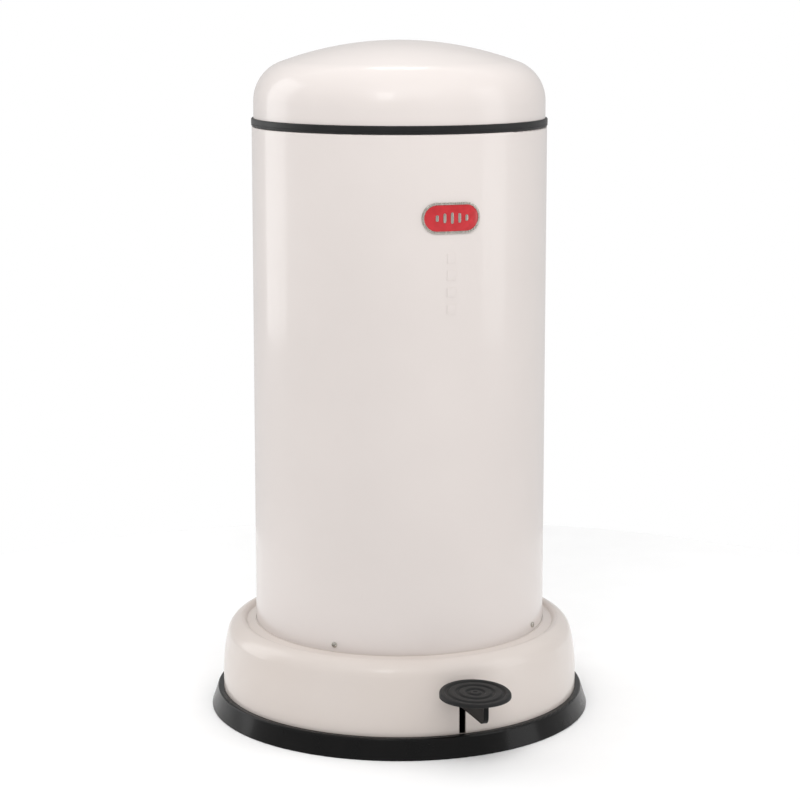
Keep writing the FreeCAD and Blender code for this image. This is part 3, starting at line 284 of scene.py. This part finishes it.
finishes = {
    "painted_steel": paintFinish("powder_coated_steel", whitePowder),
    "painted_cover": paintFinish("lacquered_abs", whiteLacquer),
    "black_steel": paintFinish("stoved_black_steel", blackStove),
    "black_plastic": mouldedPlastic("moulded_polypropylene", ringPlastic),
    "pale_plastic": mouldedPlastic("machined_acetal", guidePlastic),
    "grip_plastic": mouldedPlastic("moulded_phenolic_resin", gripResin),
    "black_rubber": mouldedRubber("extruded_epdm_rubber", rubberSkin),
    "foot_rubber": mouldedRubber("moulded_nitrile_rubber", footRubber),
    "bright_steel": drawnMetal("nickel_plated_steel", nickelPlate),
    "galvanised_steel": zincSheet("hot_dip_galvanised_steel", galvanised),
    "badge_red": firedEnamel("fired_red_enamel", redEnamel),
}

# each CAD node takes the finish of its own slot
for part in record["subparts"]:
    node = frame["nodes"][part["node"]]
    for slot in node.material_slots:
        slot.material = finishes[part["material_slot"]]
print("materials made,", len(finishes))

joinGap = 0.001 * mm  # points nearer than this become one


def addPiece(name, verts, faces, body, slotName, finish, sharpAngle=40):
    # a smooth mesh with its sharp edges kept, riding on a body of the frame unless body is None
    mesh = bpy.data.meshes.new(name)
    mesh.from_pydata([tuple(v) for v in verts], [], faces)
    shaped = bmesh.new()
    shaped.from_mesh(mesh)
    bmesh.ops.remove_doubles(shaped, verts=shaped.verts, dist=joinGap)
    bmesh.ops.dissolve_degenerate(shaped, edges=shaped.edges, dist=joinGap)
    bmesh.ops.recalc_face_normals(shaped, faces=shaped.faces)
    shaped.to_mesh(mesh)
    shaped.free()
    for face in mesh.polygons:
        face.use_smooth = True
    mesh.set_sharp_from_angle(angle=math.radians(sharpAngle))
    piece = bpy.data.objects.new(name, mesh)
    bpy.context.scene.collection.objects.link(piece)
    mesh.materials.append(finish)
    if body:
        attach(piece, body)
    return piece


def roundCorners(corners, steps=6):
    # corners are (r, z) or (r, z, radius), and a radius turns that corner into an arc
    path = []
    for index, corner in enumerate(corners):
        here = Vector(corner[:2])
        if len(corner) < 3:
            path.append(here)
            continue
        before = Vector(corners[index - 1][:2]) - here
        after = Vector(corners[(index + 1) % len(corners)][:2]) - here
        half = before.angle(after) / 2
        reach = min(corner[2] / math.tan(half), before.length * 0.49, after.length * 0.49)
        radius = reach * math.tan(half)
        middle = here + (before.normalized() + after.normalized()).normalized() * (radius / math.sin(half))
        first = here + before.normalized() * reach - middle
        last = here + after.normalized() * reach - middle
        turn = math.atan2(first.x * last.y - first.y * last.x, first.dot(last))
        for step in range(steps + 1):
            angle = turn * step / steps
            path.append(middle + Vector((first.x * math.cos(angle) - first.y * math.sin(angle),
                                         first.x * math.sin(angle) + first.y * math.cos(angle))))
    return path


def turnPath(path, segments, start=0.0, sweep=360.0, centre=(0.0, 0.0)):
    # a closed (r, z) path turned about an upright axis; a part turn gets a cap at each end
    whole = sweep > 359.99
    stations = segments if whole else segments + 1
    verts, faces = [], []
    for station in range(stations):
        angle = math.radians(start + sweep * station / segments)
        for point in path:
            verts.append((centre[0] + point[0] * math.cos(angle), centre[1] + point[0] * math.sin(angle),
                          point[1]))
    count = len(path)
    for station in range(segments):
        beyond = (station + 1) % stations
        for index in range(count):
            after = (index + 1) % count
            if path[index][0] > 1e-9 or path[after][0] > 1e-9:
                faces.append((station * count + index, station * count + after, beyond * count + after,
                              beyond * count + index))
    if not whole:
        faces.append(tuple(range(count)))
        faces.append(tuple(reversed(range(segments * count, (segments + 1) * count))))
    return verts, faces


def stackRings(rings, closeStart=True, closeEnd=True):
    # rings of equal length joined one to the next, with a cap on each end that is to be closed
    count = len(rings[0])
    verts = [point for ring in rings for point in ring]
    faces = []
    for row in range(len(rings) - 1):
        for index in range(count):
            after = (index + 1) % count
            faces.append((row * count + index, row * count + after,
                          (row + 1) * count + after, (row + 1) * count + index))
    if closeStart:
        faces.append(tuple(reversed(range(count))))
    if closeEnd:
        faces.append(tuple(range((len(rings) - 1) * count, len(rings) * count)))
    return verts, faces


def merge(parts):
    # several (verts, faces) lists as one
    verts, faces = [], []
    for someVerts, someFaces in parts:
        first = len(verts)
        verts += someVerts
        faces += [tuple(first + index for index in face) for face in someFaces]
    return verts, faces


# the pedal's rubber: a round pad with three soft channels and a small dimple
padLow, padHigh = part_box("pedal_pad")
padShape = {
    "edgeRound": 2.4 * mm, "channelDeep": 1.4 * mm, "channelHalf": 2.0 * mm, "channelAt": (0.22, 0.5, 0.79),
    "plateInset": 2.8 * mm, "plateDeep": 1.5 * mm, "dimpleRadius": 1.8 * mm, "dimpleDeep": 0.6 * mm,
    "treadUnder": 0.4 * mm, "around": 144, "lean": 3.8}  # degrees that the tread slopes down and away from the bin
padRadius = (padHigh.x - padLow.x) / 2
plateRadius = padRadius - padShape["plateInset"]
corners = [(0, padLow.z + padShape["plateDeep"]), (plateRadius, padLow.z + padShape["plateDeep"]),
           (plateRadius, padLow.z, 0.3 * mm), (padRadius, padLow.z, 0.9 * mm),
           (padRadius, padHigh.z, padShape["edgeRound"])]
for share in reversed(padShape["channelAt"]):
    outer = padRadius * share + padShape["channelHalf"]
    inner = padRadius * share - padShape["channelHalf"]
    floorLevel = padHigh.z - padShape["channelDeep"]
    corners += [(outer + 0.6 * mm, padHigh.z, 1.0 * mm), (outer - 0.8 * mm, floorLevel, 0.7 * mm),
                (inner + 0.8 * mm, floorLevel, 0.7 * mm), (inner - 0.6 * mm, padHigh.z, 1.0 * mm)]
corners += [(padShape["dimpleRadius"] + 0.6 * mm, padHigh.z, 0.6 * mm),
            (padShape["dimpleRadius"], padHigh.z - padShape["dimpleDeep"], 0.3 * mm),
            (0, padHigh.z - padShape["dimpleDeep"])]
padMiddle = (padLow + padHigh) / 2
verts, faces = turnPath(roundCorners(corners, 5), padShape["around"], centre=(padMiddle.x, padMiddle.y))
# the tread leans as one from just under its channels, and the sides below stretch to meet it
treadLow = padHigh.z - padShape["channelDeep"] - padShape["treadUnder"]
treadRise = treadLow - padLow.z - padShape["plateDeep"]
for index, (x, y, z) in enumerate(verts):
    lift = max(0.0, min(1.0, (z - padLow.z - padShape["plateDeep"]) / treadRise))
    verts[index] = (x, y, z + lift * (y - padMiddle.y) * math.tan(math.radians(padShape["lean"])))
padRubber = addPiece("pad_rubber", verts, faces, "pedal", "black_rubber", finishes["foot_rubber"])
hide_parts("pedal_pad")
print("pedal pad made")

# the lid's edge seal: a rubber channel on the rim with a fine draw line, open behind for the crank
sealLow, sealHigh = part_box("edge_seal")
sealShape = {
    "inner": 145.4 * mm, "rimOuter": 148.2 * mm, "rimInner": 147.4 * mm, "rimDeep": 2.5 * mm,
    "drawLine": 0.35 * mm, "drawAt": 2.0 * mm, "drawWide": 1.0 * mm, "around": 288,
    "gapHalf": 3.06}  # degrees each side of the crank
outer = sealHigh.x
lineLow = sealLow.z + sealShape["drawAt"]
lineHigh = lineLow + sealShape["drawWide"]
verts, faces = turnPath(roundCorners([
    (sealShape["inner"], sealLow.z, 0.6 * mm), (outer - 0.3 * mm, sealLow.z, 1.0 * mm),
    (outer, lineLow, 0.3 * mm), (outer - sealShape["drawLine"], lineLow + 0.3 * mm),
    (outer - sealShape["drawLine"], lineHigh - 0.3 * mm), (outer, lineHigh, 0.3 * mm),
    (outer, sealHigh.z - 1.0 * mm, 1.4 * mm), (sealShape["rimOuter"] + 0.2 * mm, sealHigh.z, 0.6 * mm),
    (sealShape["rimOuter"], sealLow.z + sealShape["rimDeep"]),
    (sealShape["rimInner"], sealLow.z + sealShape["rimDeep"]),
    (sealShape["rimInner"], sealHigh.z, 0.4 * mm), (sealShape["inner"], sealHigh.z, 0.6 * mm)], 4),
    sealShape["around"], 90 + sealShape["gapHalf"], 360 - 2 * sealShape["gapHalf"])
sealChannel = addPiece("seal_channel", verts, faces, "lid", "black_rubber", finishes["black_rubber"])
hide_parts("edge_seal")
print("edge seal made")

# the tube's four screws: low pan heads with a cross recess
screwLow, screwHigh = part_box("tube_screws")
screwShape = {
    "headRadius": 2.9 * mm, "turns": (45, 135, 225, 315), "around": 64,
    "armHalf": 0.5 * mm, "armReach": 0.62, "recessDeep": 1.2 * mm, "recessEase": 0.6, "recessAbove": 1.7}
# share of the head's radius, and height above the tube in mm
headOutline = [
    (0.02, 2.1), (0.12, 2.1), (0.22, 2.09), (0.32, 2.07), (0.42, 2.04), (0.52, 1.98), (0.62, 1.9), (0.72, 1.78),
    (0.82, 1.58), (0.9, 1.33), (0.97, 0.95), (1.0, 0.6), (1.0, 0.02), (0.55, 0.02), (0.52, -4.4)]
screwLevel = (screwLow.z + screwHigh.z) / 2
heads = []
for degrees in screwShape["turns"]:
    outward = Vector((math.cos(math.radians(degrees)), math.sin(math.radians(degrees)), 0))
    sideways = Vector((-outward.y, outward.x, 0))
    rings = []
    for share, rise in headOutline:
        ring = []
        for step in range(screwShape["around"]):
            spin = 2 * math.pi * step / screwShape["around"]
            across = share * screwShape["headRadius"] * math.cos(spin)
            up = share * screwShape["headRadius"] * math.sin(spin)
            depth = rise * mm
            onHeadTop = rise > screwShape["recessAbove"] and share < screwShape["armReach"]
            if onHeadTop and min(abs(across), abs(up)) < screwShape["armHalf"]:
                depth -= screwShape["recessDeep"] * (1 - screwShape["recessEase"] * share)
            ring.append(outward * (tubeRadius + depth) + sideways * across
                        + Vector((0, 0, screwLevel + up)))
        rings.append(ring)
    heads.append(stackRings(rings))
crossHeads = addPiece("cross_head_screws", *merge(heads), "base", "bright_steel", finishes["bright_steel"], 50)
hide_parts("tube_screws")
print("tube screws made")

# the badge: a plated border round a domed field of red enamel with five plain raised bars
badgeLow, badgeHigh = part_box("badge_frame")
badgeShape = {
    "border": 2.4 * mm, "borderTall": 1.8 * mm, "fieldTall": 1.0 * mm, "fieldDome": 0.5 * mm, "fieldSteps": 12,
    "around": 192, "bars": 5, "barPitch": 7.6 * mm, "barHalfWide": 1.5 * mm,
    "barHalfTall": (3.0 * mm, 4.6 * mm, 5.4 * mm, 4.6 * mm, 3.0 * mm), "barTall": 0.5 * mm, "barAround": 32,
    "barShoulder": ((1.0, 0.25 * mm), (0.93, 0.08 * mm), (0.8, 0.0))}  # share of the bar, and depth below its top
badgeHalfWide = (badgeHigh.x - badgeLow.x) / 2
badgeHalfTall = (badgeHigh.z - badgeLow.z) / 2
badgeLevel = (badgeLow.z + badgeHigh.z) / 2


def onTube(across, up, rise):
    # a point in front of the tube, across and up from the badge's middle
    radius = tubeRadius + rise
    return (across, -math.sqrt(radius ** 2 - across ** 2), badgeLevel + up)


def badgeOutline(inset):
    # the badge's capsule outline moved in by inset: an end, the top, the other end, then the foot
    radius = max(badgeHalfTall - inset, 0.01 * mm)
    straight = badgeHalfWide - badgeHalfTall
    points = []
    for step in range(badgeShape["around"]):
        share = (step + 0.5) / badgeShape["around"]
        # the ends and the straights keep the same share of steps at every inset
        if share < 0.25:
            angle = math.pi * (share / 0.25 - 0.5)
            points.append((straight + radius * math.cos(angle), radius * math.sin(angle)))
        elif share < 0.5:
            points.append((straight * (1 - 2 * (share - 0.25) / 0.25), radius))
        elif share < 0.75:
            angle = math.pi * ((share - 0.5) / 0.25 + 0.5)
            points.append((-straight + radius * math.cos(angle), radius * math.sin(angle)))
        else:
            points.append((straight * (2 * (share - 0.75) / 0.25 - 1), -radius))
    return points


def badgeRings(rows):
    # one outline on the tube for each (inset, rise)
    return [[onTube(across, up, rise) for across, up in badgeOutline(inset)] for inset, rise in rows]


border, borderTall = badgeShape["border"], badgeShape["borderTall"]
borderRows = [(border * inset, borderTall * rise) for inset, rise in (
    (0, 0), (0, 0.55), (0.08, 0.82), (0.25, 0.97), (0.5, 1.0), (0.75, 0.97), (0.92, 0.82), (1.0, 0.55), (1.0, 0),
    (0, 0))]
verts, faces = stackRings(badgeRings(borderRows), False, False)
badgeBorder = addPiece("badge_border", verts, faces, "base", "bright_steel", finishes["bright_steel"], 60)
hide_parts("badge_frame")

# the field's back follows the tube from the middle out to the border, and its front domes back to the middle
fieldSteps = badgeShape["fieldSteps"]
fieldShares = [step / fieldSteps for step in range(fieldSteps + 1)]
fieldInsets = [badgeHalfTall - (badgeHalfTall - border) * share for share in fieldShares]
fieldRows = [(inset, 0) for inset in fieldInsets]
for share, inset in zip(reversed(fieldShares), reversed(fieldInsets)):
    fieldRows.append((inset, badgeShape["fieldTall"] + badgeShape["fieldDome"] * (1 - share ** 2)))
verts, faces = stackRings(badgeRings(fieldRows))
badgeField = addPiece("badge_enamel", verts, faces, "base", "badge_red", finishes["badge_red"], 60)
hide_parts("badge_inlay")

# each bar is a rounded oblong, eased in towards its top
bars = []
barTop = badgeShape["fieldTall"] + badgeShape["fieldDome"] + badgeShape["barTall"]
barRows = [(1.0, badgeShape["fieldTall"])]
barRows += [(shrink, barTop - below) for shrink, below in badgeShape["barShoulder"]]
for index in range(badgeShape["bars"]):
    middle = (index - (badgeShape["bars"] - 1) / 2) * badgeShape["barPitch"]
    rings = []
    for shrink, rise in barRows:
        ring = []
        for step in range(badgeShape["barAround"]):
            spin = 2 * math.pi * (step + 0.5) / badgeShape["barAround"]
            wide = math.copysign(math.sqrt(abs(math.cos(spin))), math.cos(spin)) * badgeShape["barHalfWide"]
            high = math.copysign(math.sqrt(abs(math.sin(spin))), math.sin(spin)) * badgeShape["barHalfTall"][index]
            high -= math.copysign(badgeShape["barHalfWide"] * (1 - shrink), high)
            ring.append(onTube(middle + wide * shrink, high, rise))
        rings.append(ring)
    bars.append(stackRings(rings))
addPiece("badge_bars", *merge(bars), "base", "bright_steel", finishes["bright_steel"], 40)
print("badge made")

# the inner bucket: zinc sheet with a wired rim, two rolled beads and a dished floor
bucketLow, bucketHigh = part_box("inner_bucket")
bucketShape = {
    "outer": 121.5 * mm, "wall": 0.7 * mm, "rimOut": 3.0 * mm, "rimTall": 5.6 * mm, "beadAt": (0.22, 0.8),
    "beadOut": 1.3 * mm, "beadHalf": 4.0 * mm, "beadEase": 2 * mm, "beadCrest": 2.5 * mm, "floorDish": 2.5 * mm,
    "heelRound": 5.0 * mm, "footIn": 8 * mm, "floorIn": 9 * mm, "dishIn": 13 * mm, "dishUnderIn": 12.6 * mm,
    "around": 224}
outer, wall = bucketShape["outer"], bucketShape["wall"]
base, rim = bucketLow.z, bucketHigh.z
outside, inside = [(outer - bucketShape["footIn"], base), (outer, base, bucketShape["heelRound"])], []
for share in bucketShape["beadAt"]:
    level = base + (rim - base) * share
    for offset, radius, out in ((-bucketShape["beadHalf"], bucketShape["beadEase"], 0),
                                (0, bucketShape["beadCrest"], bucketShape["beadOut"]),
                                (bucketShape["beadHalf"], bucketShape["beadEase"], 0)):
        outside.append((outer + out, level + offset, radius))
        inside.insert(0, (outer - wall + out, level + offset, radius))
outside += [(outer, rim - bucketShape["rimTall"] - 0.4 * mm, 0.6 * mm),
            (outer + bucketShape["rimOut"], rim - bucketShape["rimTall"], 2.2 * mm),
            (outer + bucketShape["rimOut"], rim, 2.6 * mm), (outer - wall, rim, 1.6 * mm)]
dish = base + bucketShape["floorDish"]
inside += [(outer - wall, base + wall, bucketShape["heelRound"] - wall),
           (outer - bucketShape["floorIn"], base + wall, 1 * mm),
           (outer - bucketShape["dishIn"], dish + wall, 1 * mm), (0, dish + wall), (0, dish),
           (outer - bucketShape["dishUnderIn"], dish, 1 * mm)]
verts, faces = turnPath(roundCorners(outside + inside, 5), bucketShape["around"])
bucketShell = addPiece("bucket_shell", verts, faces, "bucket", "galvanised_steel", finishes["galvanised_steel"])
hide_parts("inner_bucket")
print("bucket made")

# the bail's grip: a resin sleeve with finger grooves that bends with the wire
gripLow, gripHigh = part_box("bail_grip")
gripShape = {
    "ring": 130.0 * mm, "centreY": -4.0 * mm, "halfTurn": 18.0, "wireRadius": 2.05 * mm, "radius": 7.0 * mm,
    "grooves": 5, "grooveDeep": 0.9 * mm, "rings": 96, "around": 40, "endShare": 0.04}
gripLevel = (gripLow.z + gripHigh.z) / 2
rings = []
for step in range(gripShape["rings"] + 1):
    share = step / gripShape["rings"]
    wave = 0.5 - 0.5 * math.cos(2 * math.pi * gripShape["grooves"] * share)
    taper = min(1.0, min(share, 1 - share) / gripShape["endShare"])
    swell = math.sqrt(1 - (1 - taper) ** 2)
    wire = gripShape["wireRadius"]
    radius = wire + (gripShape["radius"] - gripShape["grooveDeep"] * wave - wire) * swell
    angle = math.radians(-90 + gripShape["halfTurn"] * (2 * share - 1))
    ring = []
    for turn in range(gripShape["around"]):
        spin = 2 * math.pi * turn / gripShape["around"]
        reach = gripShape["ring"] + radius * math.cos(spin)
        ring.append((reach * math.cos(angle), gripShape["centreY"] + reach * math.sin(angle),
                     gripLevel + radius * math.sin(spin)))
    rings.append(ring)
gripSleeve = addPiece("grip_sleeve", *stackRings(rings, False, False), "bail", "grip_plastic",
                      finishes["grip_plastic"], 60)
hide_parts("bail_grip")
print("bail grip made")

# the tube's lap seam down the back, showing under the paint below the hinge bracket
tubeLow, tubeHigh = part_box("body_tube")
hingeLow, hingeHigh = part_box("hinge_bracket")
seamShape = {"half": 5.0 * mm, "tall": 0.5 * mm, "footGap": 16 * mm, "headGap": 22 * mm}
# share of the half width, and share of the height
seamOutline = [
    (-1.0, -0.3), (-1.0, 0.5), (-0.94, 0.85), (-0.85, 1.0), (-0.4, 1.0), (0, 1.0), (0.4, 1.0), (0.85, 1.0),
    (0.94, 0.85), (1.0, 0.5), (1.0, -0.3)]
rings = []
for level in (tubeLow.z + seamShape["footGap"], hingeLow.z - seamShape["headGap"]):
    ring = []
    for share, rise in seamOutline:
        angle = math.pi / 2 - share * seamShape["half"] / tubeRadius
        radius = tubeRadius + rise * seamShape["tall"]
        ring.append((radius * math.cos(angle), radius * math.sin(angle), level))
    rings.append(ring)
addPiece("back_seam", *stackRings(rings), "base", "painted_steel", finishes["painted_steel"], 30)
print("back seam made")

studio = {
    "turn": -19.6, "distance": 2.2939, "height": 0.7456, "pitch": 8.8622, "lens": 101.248,
    "shiftX": 0.0008, "shiftY": -0.08, "floorRings": (0.3, 0.55, 0.8), "floorAround": 128,
    "sky": ((0.42, 0.72), (1.0, 0.4), (0.64, 0.48))}  # height from 0 at the foot to 1 overhead, and grey


def studioPaper(name, look):
    # uncoated backdrop paper: matte, with a faint cloudy tooth
    material, tree, place = startMaterial(name)
    tooth = addNode(tree, "ShaderNodeTexNoise", {
        "Vector": (place, "Object"), "Scale": 1 / (look["toothMm"] * mm), "Detail": 3.0})
    colour = addNode(tree, "ShaderNodeValToRGB", {"Fac": (tooth, "Fac")}, [
        (0.3, look["tone"]), (0.7, look["pale"])])
    bump = addNode(tree, "ShaderNodeBump", {
        "Height": (tooth, "Fac"), "Strength": look["toothStrength"], "Distance": look["toothDepthMm"] * mm})
    finishMaterial(tree, {
        "Base Color": (colour, "Color"), "Roughness": look["roughness"], "Normal": (bump, "Normal"),
        "Specular IOR Level": look["specular"]})
    return material


backdropPaper = studioPaper("studio_paper", {
    "tone": "#FBFBFB", "pale": "#FDFDFD", "toothMm": 60, "toothStrength": 0.05, "toothDepthMm": 0.1,
    "roughness": 0.9, "specular": 0.1})
rings = []
for radius in studio["floorRings"]:
    turns = [2 * math.pi * step / studio["floorAround"] for step in range(studio["floorAround"])]
    rings.append([(radius * math.cos(turn), radius * math.sin(turn), 0) for turn in turns])
floor = addPiece("studio_floor", *stackRings(rings, True, False), None, None, backdropPaper)

# the room lights and reflects from a soft grey dome, and shows as plain white behind the bin
world = bpy.data.worlds.new("studio")
bpy.context.scene.world = world
world.use_nodes = True
room = world.node_tree
room.nodes.clear()
roomPlace = addNode(room, "ShaderNodeTexCoord")
roomAxes = addNode(room, "ShaderNodeSeparateXYZ", {"Vector": (roomPlace, "Generated")})
roomHeight = addNode(room, "ShaderNodeMapRange", {"Value": (roomAxes, "Z"), "From Min": -1.0, "From Max": 1.0})
dome = addNode(room, "ShaderNodeValToRGB", {"Fac": (roomHeight, "Result")})
domeMarks = dome.color_ramp.elements
for mark, (position, value) in zip([domeMarks[0], domeMarks[1], domeMarks.new(0.5)], studio["sky"]):
    mark.position = position
    mark.color = (value, value, value, 1.0)
rays = addNode(room, "ShaderNodeLightPath")
lit = addNode(room, "ShaderNodeBackground", {"Color": (dome, "Color"), "Strength": 1.0})
seen = addNode(room, "ShaderNodeBackground", {"Color": (1.0, 1.0, 1.0, 1.0), "Strength": 1.0})
mixed = addNode(room, "ShaderNodeMixShader", {
    "Fac": (rays, "Is Camera Ray"), 1: (lit, "Background"), 2: (seen, "Background")})
addNode(room, "ShaderNodeOutputWorld", {"Surface": (mixed, "Shader")})


def addSoftbox(name, turn, up, distance, size, watts, spread, aim, shines):
    # a square-cornered lamp, turn degrees round from the camera's way and up degrees above level
    lamp = bpy.data.lights.new(name, "AREA")
    lamp.shape = "RECTANGLE"
    lamp.size, lamp.size_y = size
    lamp.energy = watts
    lamp.spread = math.radians(spread)
    box = bpy.data.objects.new(name, lamp)
    bpy.context.scene.collection.objects.link(box)
    way, tilt = math.radians(studio["turn"] + turn), math.radians(up)
    toward = Vector((math.sin(way) * math.cos(tilt), -math.cos(way) * math.cos(tilt), math.sin(tilt)))
    box.location = Vector(aim) + toward * distance
    box.rotation_euler = toward.to_track_quat("Z", "Y").to_euler()
    box.visible_camera = False
    box.visible_glossy = shines  # a fill lights the paint without a highlight of its own


# turn, up, distance, size, watts, spread in degrees, aim, and whether it shows in reflections
softboxes = {
    "leftBox": (-109, 14, 1.9, (1.0, 1.8), 10.0, 180, (0, 0, 0.5), True),
    "rightBox": (76, 14, 1.9, (0.8, 1.8), 6.0, 180, (0, 0, 0.5), True),
    "keyBox": (2, 36, 1.45, (1.5, 0.7), 3.7, 95, (0, 0, 0.72), False),
    "frontSpot": (-11, 44, 1.6, (0.26, 0.42), 1.3, 180, (0, 0, 0.05), True),
    "backStrip": (180, 63, 1.3, (2.4, 0.14), 0.8, 180, (0, 0, 0.67), True),
    "backSpot": (180, 63, 1.25, (0.34, 0.24), 0.9, 180, (0, 0, 0.67), True),
}
for name, values in softboxes.items():
    addSoftbox(name, *values)

bpy.context.scene.view_settings.view_transform = "Standard"
lens = bpy.data.cameras.new("camera")
camera = bpy.data.objects.new("camera", lens)
bpy.context.scene.collection.objects.link(camera)
way = math.radians(studio["turn"])
camera.location = (math.sin(way) * studio["distance"], -math.cos(way) * studio["distance"], studio["height"])
camera.rotation_euler = (math.radians(90 - studio["pitch"]), 0, way)
lens.lens = studio["lens"]
lens.shift_x = studio["shiftX"]
lens.shift_y = studio["shiftY"]
bpy.context.scene.camera = camera
print("studio made")
